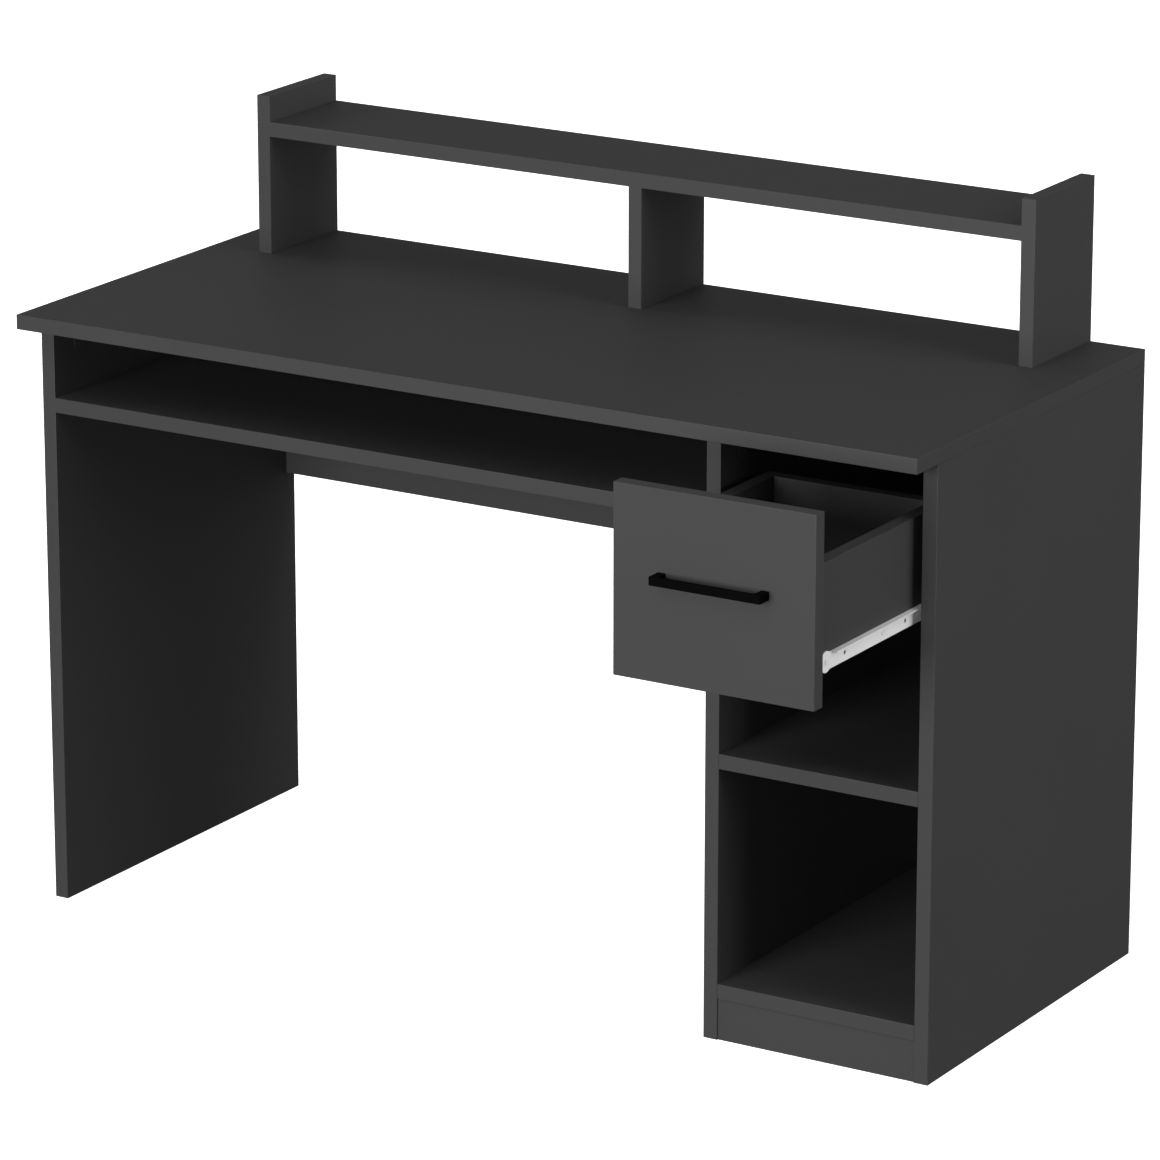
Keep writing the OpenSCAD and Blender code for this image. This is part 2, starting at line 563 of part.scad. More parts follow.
module drawer_axle() translate([dx1, droll_y, droll_z]) rotate(turn(X)) rotate_extrude()
    polygon([[0, 0], [axle_r, 0], [axle_r, steel_t + 0.8 + roller_w], [head_r, steel_t + 0.8 + roller_w],
        [head_r - 0.4, steel_t + 1.4 + roller_w], [0, steel_t + 1.4 + roller_w]]);
module cabinet_roller_axles() color("#b9bcc0") frame() for (s = [-1, 1]) right_or_left(s) cabinet_axle();
module drawer_roller_axles() color("#b9bcc0") frame() for (s = [-1, 1]) right_or_left(s) drawer_axle();
module cabinet_roller_left() color("#f2f2ef") frame() right_or_left(-1) roller(croll_x, croll_y, croll_z);
module cabinet_roller_right() color("#f2f2ef") frame() roller(croll_x, croll_y, croll_z);
module drawer_roller_left() color("#f2f2ef") frame() right_or_left(-1) roller(droll_x, droll_y, droll_z);
module drawer_roller_right() color("#f2f2ef") frame() roller(droll_x, droll_y, droll_z);

desktop();
left_side_panel();
partition_panel();
right_side_panel();
rear_panel();
keyboard_shelf();
pedestal_shelf();
pedestal_bottom();
plinth();
pedestal_back_panel();
hutch_left_upright();
hutch_right_upright();
hutch_divider();
hutch_shelf();
desktop_edging();
panel_edging();
shelf_edging();
hutch_edging();
case_cam_bolts();
case_cam_locks();
case_dowels();
hutch_cam_bolts();
hutch_cam_locks();
hutch_dowels();
back_panel_nails();
case_cam_covers();
hutch_cam_covers();
drawer_cam_covers();
cabinet_slide_left();
cabinet_slide_right();
cabinet_slide_screws();
cabinet_roller_axles();
cabinet_roller_left();
cabinet_roller_right();
drawer_front();
drawer_front_edging();
drawer_left_side();
drawer_right_side();
drawer_back();
drawer_bottom();
handle();
handle_screws();
drawer_cam_bolts();
drawer_cam_locks();
drawer_dowels();
drawer_back_screws();
drawer_slide_left();
drawer_slide_right();
drawer_slide_screws();
drawer_roller_axles();
drawer_roller_left();
drawer_roller_right();
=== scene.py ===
import json
import math

import bmesh
import bpy
from bpy.props import FloatProperty, FloatVectorProperty, PointerProperty
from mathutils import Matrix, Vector

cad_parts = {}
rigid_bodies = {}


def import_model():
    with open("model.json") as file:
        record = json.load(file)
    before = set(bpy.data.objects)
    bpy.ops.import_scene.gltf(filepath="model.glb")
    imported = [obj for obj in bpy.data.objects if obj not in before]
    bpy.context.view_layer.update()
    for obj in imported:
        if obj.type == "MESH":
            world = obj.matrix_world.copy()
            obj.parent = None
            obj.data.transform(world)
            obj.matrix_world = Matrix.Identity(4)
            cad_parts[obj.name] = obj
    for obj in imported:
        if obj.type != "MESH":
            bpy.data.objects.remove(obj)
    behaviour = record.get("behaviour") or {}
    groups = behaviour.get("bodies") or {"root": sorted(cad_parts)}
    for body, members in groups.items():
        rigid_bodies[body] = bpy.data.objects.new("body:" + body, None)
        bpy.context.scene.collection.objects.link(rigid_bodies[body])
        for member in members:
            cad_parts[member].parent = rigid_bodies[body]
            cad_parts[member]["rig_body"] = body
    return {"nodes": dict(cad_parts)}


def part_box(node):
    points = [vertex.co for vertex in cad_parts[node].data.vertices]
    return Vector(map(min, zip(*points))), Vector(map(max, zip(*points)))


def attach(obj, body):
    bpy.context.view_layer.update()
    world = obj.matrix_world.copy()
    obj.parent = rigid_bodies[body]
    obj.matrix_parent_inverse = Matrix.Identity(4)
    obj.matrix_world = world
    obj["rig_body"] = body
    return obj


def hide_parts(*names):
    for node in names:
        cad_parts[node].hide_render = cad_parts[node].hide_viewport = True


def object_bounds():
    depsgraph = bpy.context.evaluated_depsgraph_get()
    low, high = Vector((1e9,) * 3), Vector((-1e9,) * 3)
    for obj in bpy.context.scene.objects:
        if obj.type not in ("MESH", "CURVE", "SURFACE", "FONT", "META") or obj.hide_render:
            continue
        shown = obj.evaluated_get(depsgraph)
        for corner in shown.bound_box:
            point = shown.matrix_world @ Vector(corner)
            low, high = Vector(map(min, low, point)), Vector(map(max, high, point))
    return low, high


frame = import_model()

bl_info = {
    "name": "Computer Desk",
    "version": (1, 0, 0),
    "blender": (4, 5, 0),
    "location": "View3D > Sidebar > Desk",
    "description": "Dresses a melamine computer desk with a keyboard shelf, a drawer and a monitor shelf",
    "category": "Object",
}

CAD_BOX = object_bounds()
MM = 0.001

# Points closer than this to a plane are on it, and points closer than this join
ON_PLANE = 0.01 * MM
JOINED = 0.005 * MM
# Faces that turn less than this are one flat face, and more than this meet at a sharp corner
FLAT_TURN = math.radians(0.5)
SMOOTH_TURN = math.radians(40)
SQUARE_TURN = math.radians(60)
# A face is square to an axis when its normal is at least this much along it
SQUARE = 0.9999
# The eased corners of a board take the facing when their normal is this much along it
EASE_SLOPE = 0.2
FOIL_SLOPE = 0.6
FOIL_REACH = 0.4 * MM
# Corners shorter than these are holes and notches, and keep their edge
BOARD_CORNER = 20 * MM
STRIP_CORNER = 5 * MM
HANDLE_CORNER = 3 * MM

# The sides of a box, by the way that they face
FRONT, REAR, LEFT, RIGHT, TOP, BOTTOM = SIDES = "-y", "+y", "-x", "+x", "+z", "-z"
AXES = {"x": 0, "y": 1, "z": 2}

# Each board: the axis across its thickness, the sides under edging, and the sides in foil
BOARDS = {
    "desktop": ("z", (FRONT, REAR, LEFT, RIGHT), ()),
    "left_side_panel": ("x", (FRONT,), ()),
    "partition_panel": ("x", (FRONT,), ()),
    "right_side_panel": ("x", (FRONT,), ()),
    "rear_panel": ("y", (), (BOTTOM,)),
    "keyboard_shelf": ("z", (FRONT,), ()),
    "pedestal_shelf": ("z", (FRONT,), ()),
    "pedestal_bottom": ("z", (FRONT,), ()),
    "plinth": ("y", (), ()),
    "hutch_left_upright": ("x", (FRONT, TOP), (REAR,)),
    "hutch_right_upright": ("x", (FRONT, TOP), (REAR,)),
    "hutch_divider": ("x", (FRONT,), (REAR,)),
    "hutch_shelf": ("z", (FRONT,), (REAR,)),
}
DRAWER_BOARDS = {
    "drawer_front": ("y", (LEFT, RIGHT, TOP, BOTTOM), ()),
    "drawer_left_side": ("x", (), (TOP, REAR)),
    "drawer_right_side": ("x", (), (TOP, REAR)),
    "drawer_back": ("y", (), (TOP,)),
}
# Each edging node, with its outer sides, where the arris is rounded
EDGINGS = {
    "desktop_edging": (LEFT, RIGHT, FRONT, REAR),
    "panel_edging": (FRONT,),
    "shelf_edging": (FRONT,),
    "hutch_edging": (FRONT, TOP),
    "drawer_front_edging": (LEFT, RIGHT, TOP, BOTTOM),
}
SLIDES = ("cabinet_slide_left", "cabinet_slide_right", "drawer_slide_left", "drawer_slide_right")
ROLLERS = ("cabinet_roller_left", "cabinet_roller_right", "drawer_roller_left", "drawer_roller_right")
# Each soft box: degrees round from the front toward the right, degrees up, power in watts,
# and whether its reflection shows
SOFT_BOXES = {
    "Low front": (0, 5, 740.0, True),
    "High front": (0, 45, 150.0, True),
    "Low right": (90, 15, 285.0, True),
    "High right": (90, 45, 119.0, True),
    "Low left": (-90, 15, 390.0, False),
    "Low back": (180, 5, 220.0, False),
}


class DeskSizes(bpy.types.PropertyGroup):
    """Small sizes that finish the desk's pieces"""

    board_ease: FloatProperty(
        name="Board ease", description="Width taken off the bare corners of a board",
        default=0.3 * MM, unit="LENGTH", precision=5)
    edging_ease: FloatProperty(
        name="Edging ease", description="Rounding of the outer corners of the edging",
        default=0.5 * MM, unit="LENGTH", precision=5)
    handle_ease: FloatProperty(
        name="Handle ease", description="Rounding of the corners of the handle bar",
        default=0.9 * MM, unit="LENGTH", precision=5)
    steel_ease: FloatProperty(
        name="Steel ease", description="Rounding of the folds and cut edges of the slides",
        default=0.35 * MM, unit="LENGTH", precision=5)
    grain: FloatProperty(
        name="Grain", description="Size of the fine pearl texture pressed into the melamine",
        default=0.9 * MM, unit="LENGTH", precision=5)
    chip: FloatProperty(
        name="Chip", description="Size of the larger chips in the core of the boards",
        default=2.6 * MM, unit="LENGTH", precision=5)


class DeskColours(bpy.types.PropertyGroup):
    """Colours of the desk's materials"""

    board: FloatVectorProperty(
        name="Board", description="Anthracite face of the melamine boards",
        subtype="COLOR", default=(0.0330, 0.0330, 0.0332))
    edging: FloatVectorProperty(
        name="Edging", description="Anthracite plastic edging",
        subtype="COLOR", default=(0.0335, 0.0335, 0.0338))
    core: FloatVectorProperty(
        name="Core", description="Bare chipboard at the cut edges",
        subtype="COLOR", default=(0.235, 0.160, 0.092))
    hardboard: FloatVectorProperty(
        name="Hardboard", description="Painted hardboard of the back and the drawer bottom",
        subtype="COLOR", default=(0.0300, 0.0300, 0.0305))
    handle: FloatVectorProperty(
        name="Handle", description="Black powder coat of the handle",
        subtype="COLOR", default=(0.0010, 0.0010, 0.0010))
    slide: FloatVectorProperty(
        name="Slide", description="White epoxy paint of the slides",
        subtype="COLOR", default=(0.70, 0.70, 0.695))
    nylon: FloatVectorProperty(
        name="Nylon", description="White nylon of the rollers",
        subtype="COLOR", default=(0.76, 0.76, 0.73))
    zinc: FloatVectorProperty(
        name="Zinc", description="Zinc-plated steel of the bolts, screws and axles",
        subtype="COLOR", default=(0.62, 0.63, 0.64))
    alloy: FloatVectorProperty(
        name="Zinc alloy", description="Cast alloy of the cam locks",
        subtype="COLOR", default=(0.42, 0.43, 0.44))
    beech: FloatVectorProperty(
        name="Beech", description="Plain beech of the dowels",
        subtype="COLOR", default=(0.52, 0.33, 0.17))


class DeskStudio(bpy.types.PropertyGroup):
    """Camera, floor and light"""

    azimuth: FloatProperty(
        name="Azimuth", description="How far the camera stands round to the right of the desk's front",
        default=math.radians(31.485), subtype="ANGLE")
    elevation: FloatProperty(
        name="Elevation", description="How far the camera looks down",
        default=math.radians(16.808), subtype="ANGLE")
    distance: FloatProperty(
        name="Distance", description="From the camera to the point that it looks at",
        default=7.1384, unit="LENGTH")
    aim: FloatVectorProperty(
        name="Aim", description="The point that the camera looks at",
        subtype="XYZ", unit="LENGTH", default=(0.05137, 0.03026, 0.46360))
    lens: FloatProperty(
        name="Lens", description="Focal length, in millimetres, on a 36 mm sensor",
        default=191.18)
    floor_size: FloatProperty(
        name="Floor size", description="Side of the square floor", default=60.0, unit="LENGTH")
    floor_colour: FloatVectorProperty(
        name="Floor", description="Pale studio floor", subtype="COLOR", default=(0.92, 0.92, 0.92))
    floor_glow: FloatProperty(
        name="Floor glow", description="Light from under the translucent studio floor", default=0.9)
    sky: FloatProperty(
        name="Sky", description="Strength of the even white light all round", default=0.161)
    backdrop: FloatProperty(
        name="Backdrop", description="Brightness of the white behind the desk", default=1.0)
    power: FloatProperty(
        name="Power", description="Power of the soft boxes, as a share of their own", default=1.0)
    box_size: FloatProperty(
        name="Soft box size", description="Side of each soft box", default=4.0, unit="LENGTH")
    box_distance: FloatProperty(
        name="Soft box distance", description="From the desk to each soft box",
        default=7.0, unit="LENGTH")


class Term:
    """A value in a material's nodes that takes part in Python sums"""

    def __init__(self, finish, socket):
        self.finish = finish
        self.socket = socket

    def maths(self, operation, *values):
        """A Math node on this value and others"""
        return self.finish.node(
            "ShaderNodeMath", {"operation": operation}, dict(enumerate(values)))

    def __add__(self, other):
        return self.maths("ADD", self, other)

    def __radd__(self, other):
        return self.maths("ADD", other, self)

    def __sub__(self, other):
        return self.maths("SUBTRACT", self, other)

    def __rsub__(self, other):
        return self.maths("SUBTRACT", other, self)

    def __mul__(self, other):
        return self.maths("MULTIPLY", self, other)

    def __rmul__(self, other):
        return self.maths("MULTIPLY", other, self)

    def above(self, limit):
        return self.maths("GREATER_THAN", self, limit)


class Finish:
    """A material under construction"""

    def __init__(self, name, roughness, metallic=0.0, specular=0.5, coat=0.0):
        self.material = bpy.data.materials.new(name)
        self.material.use_nodes = True
        self.tree = self.material.node_tree
        self.shader = self.tree.nodes["Principled BSDF"]
        self.set("Roughness", roughness)
        self.set("Metallic", metallic)
        self.set("Specular IOR Level", specular)
        self.set("Coat Weight", coat)
        self.set("Coat Roughness", 0.3)
        self.position = self.node("ShaderNodeTexCoord", output="Object")

    def set(self, socket, value):
        """Gives a socket of the shader a value or a link"""
        if isinstance(value, Term):
            self.tree.links.new(value.socket, self.shader.inputs[socket])
        else:
            self.shader.inputs[socket].default_value = value

    def node(self, kind, settings=None, values=None, output=0):
        """A node of any type: its settings first, then the values or links of its sockets"""
        made = self.tree.nodes.new(kind)
        for name, setting in (settings or {}).items():
            setattr(made, name, setting)
        for name, value in (values or {}).items():
            if isinstance(value, Term):
                self.tree.links.new(value.socket, made.inputs[name])
            else:
                made.inputs[name].default_value = value
        return Term(self, made.outputs[output])

    def stretched(self, scale):
        """Object coordinates, stretched by a scale for each axis"""
        return self.node(
            "ShaderNodeMapping", None, {"Vector": self.position, "Scale": scale})

    def noise(self, size, detail=2.0, place=None, roughness=0.5):
        """Noise of a size in metres, from 0 to 1"""
        return self.node(
            "ShaderNodeTexNoise", None,
            {"Vector": place or self.position, "Scale": 1.0 / size, "Detail": detail,
             "Roughness": roughness})

    def cells(self, size, output="Distance"):
        """Voronoi cells of a size in metres: the distance to each middle, or its colour"""
        return self.node(
            "ShaderNodeTexVoronoi", None,
            {"Vector": self.position, "Scale": 1.0 / size}, output)

    def mix(self, factor, first, second):
        """A colour between two colours"""
        pair = [c if isinstance(c, Term) else (*c, 1.0) for c in (first, second)]
        return self.node(
            "ShaderNodeMix", {"data_type": "RGBA"}, {0: factor, 6: pair[0], 7: pair[1]}, 2)

    def bump(self, height, depth, strength):
        """Feeds a height, whose full range is depth metres, to the shader's normal"""
        self.set("Normal", self.node(
            "ShaderNodeBump", None,
            {"Height": height, "Distance": depth, "Strength": strength}))


def shade(colour, factor):
    """A colour made lighter or darker"""
    return tuple(min(1.0, c * factor) for c in colour)


def sizes():
    return bpy.context.scene.desk_sizes


def colours():
    return bpy.context.scene.desk_colours


FINISHES = {}


def finish(make):
    """Makes a material once, and gives the same one after that"""
    def once():
        if make.__name__ not in FINISHES:
            FINISHES[make.__name__] = make()
        return FINISHES[make.__name__]
    return once


def pearl(made, colour, contrast, base_roughness):
    """The fine pearl texture of pressed melamine and its edging"""
    grain = sizes().grain
    fine = made.noise(grain, 3.0)
    speck = made.cells(grain * 0.8)
    cloud = made.noise(0.16, 3.0)
    tone = 0.5 + (fine - 0.5) * contrast + (cloud - 0.5) * 0.5
    made.set("Base Color", made.mix(tone, shade(colour, 0.90), shade(colour, 1.10)))
    made.set("Roughness", base_roughness + (cloud - 0.5) * 0.10 + (fine - 0.5) * 0.12)
    made.bump(fine * 0.7 + speck * 0.3, 0.035 * MM, 0.5)


@finish
def melamine():
    made = Finish("Anthracite melamine", 0.56, specular=0.22)
    pearl(made, colours().board, 1.1, 0.56)
    return made.material


@finish
def edging():
    made = Finish("Anthracite edging", 0.50, specular=0.24)
    pearl(made, colours().edging, 0.8, 0.50)
    return made.material


@finish
def chipboard():
    """Pressed wood chips: light and dark flakes of one size, with dark gaps between them"""
    made = Finish("Bare chipboard", 0.85, specular=0.2)
    core, chip = colours().core, sizes().chip
    flakes = made.cells(chip)
    grey = made.node("ShaderNodeRGBToBW", None, {"Color": made.cells(chip, "Color")})
    dust = made.noise(chip * 0.25, 4.0)
    gaps = (0.36 - dust).above(0.0)
    wood = made.mix(grey, shade(core, 0.62), shade(core, 1.45))
    wood = made.mix(dust * 0.5, wood, shade(core, 0.8))
    made.set("Base Color", made.mix(gaps * 0.75, wood, shade(core, 0.22)))
    made.set("Roughness", 0.78 + dust * 0.14)
    made.bump(flakes * 0.5 + dust * 0.5, 0.25 * MM, 0.7)
    return made.material


@finish
def hardboard():
    """Painted hardboard: fibres pressed flat under a thin dark film"""
    made = Finish("Painted hardboard", 0.6, specular=0.2)
    fibre = made.noise(1.6 * MM, 4.0, made.stretched((1.0, 0.45, 0.22)), 0.65)
    speck = made.noise(0.35 * MM, 2.0)
    colour = colours().hardboard
    tone = 0.5 + (fibre - 0.5) * 1.3
    made.set("Base Color", made.mix(tone, shade(colour, 0.82), shade(colour, 1.18)))
    made.set("Roughness", 0.56 + fibre * 0.14)
    made.bump(fibre * 0.7 + speck * 0.3, 0.05 * MM, 0.6)
    return made.material


@finish
def cover_film():
    """Thin self-adhesive covers over the cam locks"""
    made = Finish("Cam cover film", 0.42, specular=0.3)
    pearl(made, shade(colours().edging, 1.06), 0.6, 0.42)
    return made.material


@finish
def white_epoxy():
    """Baked white paint on steel strip, with a faint orange peel"""
    made = Finish("White epoxy paint", 0.34, specular=0.5, coat=0.15)
    peel = made.noise(1.8 * MM, 2.0)
    dust = made.noise(30 * MM, 3.0)
    colour = colours().slide
    made.set("Base Color", made.mix(dust, shade(colour, 0.95), shade(colour, 1.03)))
    made.set("Roughness", 0.30 + dust * 0.10)
    made.bump(peel, 0.03 * MM, 0.6)
    return made.material


@finish
def nylon():
    made = Finish("White nylon", 0.45, specular=0.4)
    swirl = made.noise(3.0 * MM, 3.0)
    colour = colours().nylon
    made.set("Base Color", made.mix(swirl, shade(colour, 0.93), shade(colour, 1.03)))
    made.set("Roughness", 0.40 + swirl * 0.12)
    made.bump(swirl, 0.02 * MM, 0.5)
    return made.material


@finish
def powder_black():
    """Matte black powder coat, with its fine even texture"""
    made = Finish("Black powder coat", 0.62, specular=0.02)
    grit = made.noise(0.45 * MM, 2.0)
    patch = made.noise(18 * MM, 2.0)
    colour = colours().handle
    made.set("Base Color", made.mix(grit, shade(colour, 0.75), shade(colour, 1.3)))
    made.set("Roughness", 0.48 + grit * 0.14 + (patch - 0.5) * 0.08)
    made.bump(grit, 0.03 * MM, 0.7)
    return made.material


def plated(name, colour, roughness, grain):
    """Bare or plated metal, with a cloudy passivated surface"""
    made = Finish(name, roughness, metallic=1.0)
    cloud = made.noise(grain * 6.0, 3.0)
    fine = made.noise(grain, 2.0)
    tone = 0.5 + (cloud - 0.5) * 1.4
    made.set("Base Color", made.mix(tone, shade(colour, 0.82), shade(colour, 1.12)))
    made.set("Roughness", roughness + (cloud - 0.5) * 0.16 + (fine - 0.5) * 0.10)
    made.bump(fine, 0.015 * MM, 0.5)
    return made.material


@finish
def zinc_steel():
    return plated("Zinc-plated steel", colours().zinc, 0.30, 0.5 * MM)


@finish
def zinc_alloy():
    return plated("Cast zinc alloy", colours().alloy, 0.46, 0.3 * MM)


@finish
def painted_screw():
    made = Finish("White painted screw", 0.38, specular=0.5)
    chips = made.noise(1.2 * MM, 3.0)
    worn = chips.above(0.66)
    colour = shade(colours().slide, 0.93)
    made.set("Base Color", made.mix(worn, colour, shade(colours().zinc, 0.8)))
    made.set("Roughness", 0.34 + chips * 0.12)
    made.bump(chips, 0.03 * MM, 0.5)
    return made.material


@finish
def beech():
    """Turned beech, with short dark flecks and broad patches of lighter and darker wood"""
    made = Finish("Beech dowel", 0.6, specular=0.3)
    fleck = made.noise(1.4 * MM, 3.0)
    band = made.noise(7.0 * MM, 2.0)
    colour = colours().beech
    tone = 0.5 + (band - 0.5) * 1.2
    wood = made.mix(tone, shade(colour, 0.85), shade(colour, 1.12))
    made.set("Base Color", made.mix(fleck.above(0.62) * 0.5, wood, shade(colour, 0.6)))
    made.set("Roughness", 0.55 + fleck * 0.15)
    made.bump(fleck, 0.08 * MM, 0.6)
    return made.material


def on_side(box, side, point, reach=ON_PLANE):
    """True where a point lies on one side of a box"""
    axis = AXES[side[1]]
    corner = box[1] if side[0] == "+" else box[0]
    return abs(point[axis] - corner[axis]) < reach


def sides_of(edge, box, sides):
    """How many of these sides of a box an edge lies on"""
    return sum(all(on_side(box, side, v.co) for v in edge.verts) for side in sides)


def merged_copy(node):
    """A bmesh copy of a CAD node, with its loose triangles joined and its flat faces whole"""
    mesh = bmesh.new()
    mesh.from_mesh(frame["nodes"][node].data)
    bmesh.ops.remove_doubles(mesh, verts=mesh.verts, dist=JOINED)
    bmesh.ops.dissolve_limit(
        mesh, angle_limit=FLAT_TURN, verts=mesh.verts, edges=mesh.edges,
        use_dissolve_boundaries=False)
    return mesh


def long_corners(mesh, shortest):
    """The square outside corners of a mesh that are at least this long"""
    return [
        e for e in mesh.edges
        if len(e.link_faces) == 2 and e.calc_length() >= shortest
        and e.is_convex and e.calc_face_angle() > SQUARE_TURN]


def ease(mesh, corners, width, segments=2):
    """Rounds corners with a small bevel"""
    bmesh.ops.bevel(
        mesh, geom=corners, offset=width, offset_type="OFFSET", affect="EDGES",
        segments=segments, profile=0.5, material=-1, clamp_overlap=True)


def smooth_rounds(mesh):
    """Smooth shading on every face that isn't square to an axis, split at sharp corners"""
    for face in mesh.faces:
        face.smooth = max(abs(n) for n in face.normal) < SQUARE
    for edge in mesh.edges:
        edge.smooth = len(edge.link_faces) == 2 and edge.calc_face_angle(0.0) < SMOOTH_TURN


def piece(name, mesh, node, materials):
    """Makes an object of a mesh, which stands for a CAD node and rides on its body"""
    data = bpy.data.meshes.new(name)
    mesh.to_mesh(data)
    mesh.free()
    for material in materials:
        data.materials.append(material)
    made = bpy.data.objects.new(name, data)
    bpy.context.scene.collection.objects.link(made)
    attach(made, frame["nodes"][node]["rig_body"])
    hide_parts(node)
    return made


def dress(node, material):
    """Gives a CAD node that keeps its own shape a material"""
    thing = frame["nodes"][node]
    thing.data.materials.clear()
    thing.data.materials.append(material)


def is_faced(face, box, axis, foiled):
    """True for the wide faces of a board with the ease round them, and for its foiled sides"""
    centre = face.calc_center_median()
    wide = abs(face.normal[axis]) > EASE_SLOPE and min(
        abs(centre[axis] - corner[axis]) for corner in box) < MM
    return wide or any(
        on_side(box, side, centre, FOIL_REACH) and abs(face.normal[AXES[side[1]]]) > FOIL_SLOPE
        for side in foiled)


def board(node, across, edged, foiled):
    """A melamine board: faces and foiled sides in anthracite, cut sides in bare chipboard"""
    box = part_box(node)
    mesh = merged_copy(node)
    corners = [
        e for e in long_corners(mesh, BOARD_CORNER)
        if sides_of(e, box, SIDES) == 2 and not sides_of(e, box, edged)]
    ease(mesh, corners, sizes().board_ease)
    for face in mesh.faces:
        face.material_index = 0 if is_faced(face, box, AXES[across], foiled) else 1
    smooth_rounds(mesh)
    return piece(node + "_finished", mesh, node, [melamine(), chipboard()])


def edging_strip(node, outer_sides):
    """Plastic edging, rounded at its outer corners"""
    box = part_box(node)
    mesh = merged_copy(node)
    corners = [e for e in long_corners(mesh, STRIP_CORNER) if sides_of(e, box, outer_sides)]
    ease(mesh, corners, sizes().edging_ease, 3)
    smooth_rounds(mesh)
    return piece(node + "_finished", mesh, node, [edging()])


def way_out(azimuth, elevation):
    """The direction that leads from the desk, round from its front toward the right, and up"""
    return Vector((
        math.sin(azimuth) * math.cos(elevation),
        -math.cos(azimuth) * math.cos(elevation),
        math.sin(elevation)))


class DESK_OT_stage(bpy.types.Operator):
    """Set up the floor, the light and the camera"""

    bl_idname = "desk.stage"
    bl_label = "Studio"

    def execute(self, context):
        studio = context.scene.desk_studio
        self.camera(context, studio)
        self.floor(context, studio)
        self.sky(context, studio)
        for name, (azimuth, elevation, power, shows) in SOFT_BOXES.items():
            box = self.soft_box(context, studio, name, azimuth, elevation, power)
            box.visible_glossy = shows
        context.scene.view_settings.view_transform = "Standard"
        return {"FINISHED"}

    @staticmethod
    def camera(context, studio):
        back = way_out(studio.azimuth, studio.elevation)
        data = bpy.data.cameras.new("Camera")
        data.sensor_width = 36.0
        data.lens = studio.lens
        data.clip_end = 200.0
        camera = bpy.data.objects.new("Camera", data)
        context.scene.collection.objects.link(camera)
        camera.location = Vector(studio.aim) + back * studio.distance
        camera.rotation_mode = "QUATERNION"
        camera.rotation_quaternion = (-back).to_track_quat("-Z", "Y")
        context.scene.camera = camera

    @staticmethod
    def floor(context, studio):
        mesh = bmesh.new()
        bmesh.ops.create_grid(mesh, x_segments=1, y_segments=1, size=studio.floor_size / 2)
        data = bpy.data.meshes.new("studio_floor")
        mesh.to_mesh(data)
        mesh.free()
        made = Finish("Studio floor", 0.9, specular=0.0)
        colour = tuple(studio.floor_colour)
        cloud = made.noise(0.8, 2.0)
        made.set("Base Color", made.mix(cloud, shade(colour, 0.99), colour))
        made.set("Emission Color", (1.0, 1.0, 1.0, 1.0))
        made.set("Emission Strength", studio.floor_glow)
        data.materials.append(made.material)
        floor = bpy.data.objects.new("studio_floor", data)
        floor.visible_diffuse = floor.visible_glossy = False
        context.scene.collection.objects.link(floor)

    @staticmethod
    def sky(context, studio):
        """Even light all round, in front of a brighter white backdrop that lights nothing"""
        world = bpy.data.worlds.new("Studio")
        world.use_nodes = True
        tree = world.node_tree
        ray = tree.nodes.new("ShaderNodeLightPath").outputs["Is Camera Ray"]
        strength = tree.nodes.new("ShaderNodeMapRange")
        tree.links.new(ray, strength.inputs["Value"])
        strength.inputs["To Min"].default_value = studio.sky
        strength.inputs["To Max"].default_value = studio.backdrop
        background = tree.nodes["Background"]
        background.inputs["Color"].default_value = (1.0, 1.0, 1.0, 1.0)
        tree.links.new(strength.outputs["Result"], background.inputs["Strength"])
        context.scene.world = world

    @staticmethod
    def soft_box(context, studio, name, azimuth, elevation, power):
        """One large square lamp that faces the middle of the desk"""
        lamp = bpy.data.lights.new(name, "AREA")
        lamp.energy = power * studio.power
        lamp.shape = "SQUARE"
        lamp.size = studio.box_size
        box = bpy.data.objects.new(name, lamp)
        context.scene.collection.objects.link(box)
        out = way_out(math.radians(azimuth), math.radians(elevation))
        middle = (Vector(CAD_BOX[0]) + Vector(CAD_BOX[1])) / 2
        box.location = middle + out * studio.box_distance
        box.rotation_mode = "QUATERNION"
        box.rotation_quaternion = (-out).to_track_quat("-Z", "Y")
        return box


class DESK_OT_boards(bpy.types.Operator):
    """Finish the melamine boards of the desk and of the monitor shelf"""

    bl_idname = "desk.boards"
    bl_label = "Boards"

    def execute(self, context):
        for node, (across, edged, foiled) in BOARDS.items():
            board(node, across, edged, foiled)
        return {"FINISHED"}


class DESK_OT_drawer_box(bpy.types.Operator):
    """Finish the boards of the drawer"""

    bl_idname = "desk.drawer_box"
    bl_label = "Drawer"

    def execute(self, context):
        for node, (across, edged, foiled) in DRAWER_BOARDS.items():
            board(node, across, edged, foiled)
        dress("drawer_bottom", hardboard())
        return {"FINISHED"}


class DESK_OT_back_panel(bpy.types.Operator):
    """Finish the hardboard back of the pedestal and its nails"""

    bl_idname = "desk.back_panel"
    bl_label = "Back panel"

    def execute(self, context):
        dress("pedestal_back_panel", hardboard())
        dress("back_panel_nails", zinc_steel())
        return {"FINISHED"}


class DESK_OT_edging(bpy.types.Operator):
    """Round and finish the plastic edging strips"""

    bl_idname = "desk.edging"
    bl_label = "Edging"

    def execute(self, context):
        for node, outer_sides in EDGINGS.items():
            edging_strip(node, outer_sides)
        return {"FINISHED"}


class DESK_OT_handle(bpy.types.Operator):
    """Round and coat the drawer handle"""

    bl_idname = "desk.handle"
    bl_label = "Handle"

    def execute(self, context):
        mesh = merged_copy("handle")
        ease(mesh, long_corners(mesh, HANDLE_CORNER), sizes().handle_ease, 4)
        smooth_rounds(mesh)
        piece("handle_finished", mesh, "handle", [powder_black()])
        return {"FINISHED"}


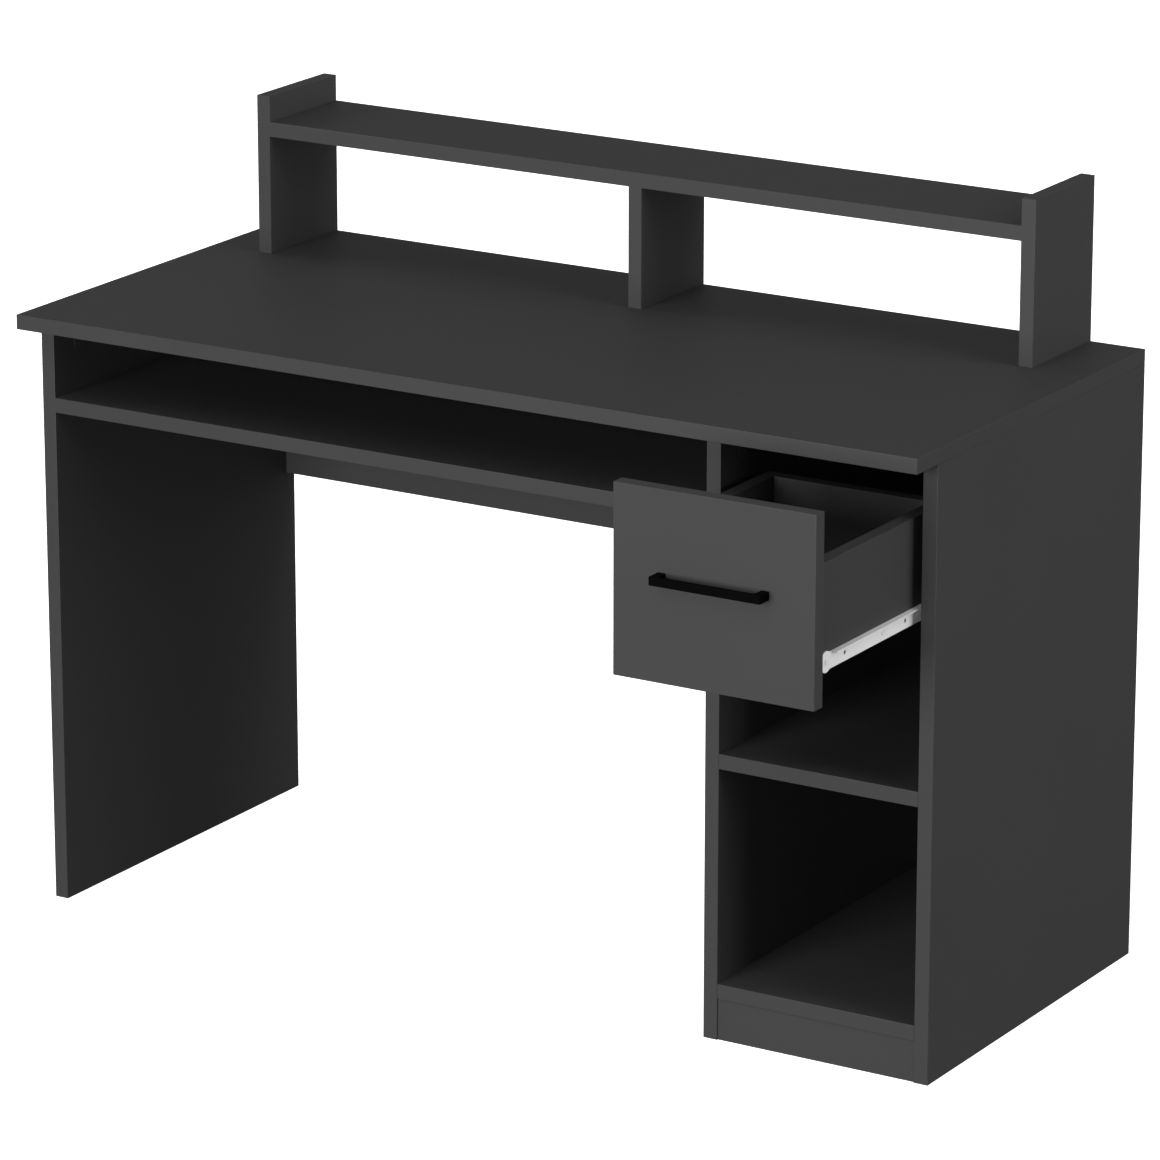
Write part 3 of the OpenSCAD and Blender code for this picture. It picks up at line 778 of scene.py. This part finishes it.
class DESK_OT_slides(bpy.types.Operator):
    """Ease the folds of the drawer slides and paint them"""

    bl_idname = "desk.slides"
    bl_label = "Slides"

    def execute(self, context):
        for node in SLIDES:
            mesh = merged_copy(node)
            ease(mesh, long_corners(mesh, STRIP_CORNER), sizes().steel_ease)
            smooth_rounds(mesh)
            piece(node + "_finished", mesh, node, [white_epoxy()])
        return {"FINISHED"}


class DESK_OT_rollers(bpy.types.Operator):
    """Finish the nylon rollers and their axles"""

    bl_idname = "desk.rollers"
    bl_label = "Rollers"

    def execute(self, context):
        for node in ROLLERS:
            dress(node, nylon())
        for node in ("cabinet_roller_axles", "drawer_roller_axles"):
            dress(node, zinc_steel())
        return {"FINISHED"}


class DESK_OT_fittings(bpy.types.Operator):
    """Finish the cam fittings, dowels, screws and covers"""

    bl_idname = "desk.fittings"
    bl_label = "Fittings"

    def execute(self, context):
        for group in ("case", "hutch", "drawer"):
            dress(group + "_cam_bolts", zinc_steel())
            dress(group + "_cam_locks", zinc_alloy())
            dress(group + "_dowels", beech())
            dress(group + "_cam_covers", cover_film())
        for node in ("handle_screws", "drawer_back_screws"):
            dress(node, zinc_steel())
        for node in ("cabinet_slide_screws", "drawer_slide_screws"):
            dress(node, painted_screw())
        return {"FINISHED"}


OPERATORS = (
    DESK_OT_stage,
    DESK_OT_boards,
    DESK_OT_drawer_box,
    DESK_OT_back_panel,
    DESK_OT_edging,
    DESK_OT_handle,
    DESK_OT_slides,
    DESK_OT_rollers,
    DESK_OT_fittings,
)


class DESK_PT_sidebar(bpy.types.Panel):
    """The desk's pieces and settings in the sidebar"""

    bl_idname = "DESK_PT_sidebar"
    bl_label = "Computer Desk"
    bl_space_type = "VIEW_3D"
    bl_region_type = "UI"
    bl_category = "Desk"

    def draw(self, context):
        layout = self.layout
        for operator in OPERATORS:
            layout.operator(operator.bl_idname)
        for group in (context.scene.desk_sizes, context.scene.desk_colours,
                      context.scene.desk_studio):
            column = layout.box().column()
            for name in group.__annotations__:
                column.prop(group, name)


CLASSES = (DeskSizes, DeskColours, DeskStudio, *OPERATORS, DESK_PT_sidebar)


def register():
    for part in CLASSES:
        bpy.utils.register_class(part)
    bpy.types.Scene.desk_sizes = PointerProperty(type=DeskSizes)
    bpy.types.Scene.desk_colours = PointerProperty(type=DeskColours)
    bpy.types.Scene.desk_studio = PointerProperty(type=DeskStudio)


def unregister():
    del bpy.types.Scene.desk_studio
    del bpy.types.Scene.desk_colours
    del bpy.types.Scene.desk_sizes
    for part in reversed(CLASSES):
        bpy.utils.unregister_class(part)


def main():
    register()
    for operator in OPERATORS:
        group, name = operator.bl_idname.split(".")
        getattr(getattr(bpy.ops, group), name)()


if __name__ == "__main__":
    main()
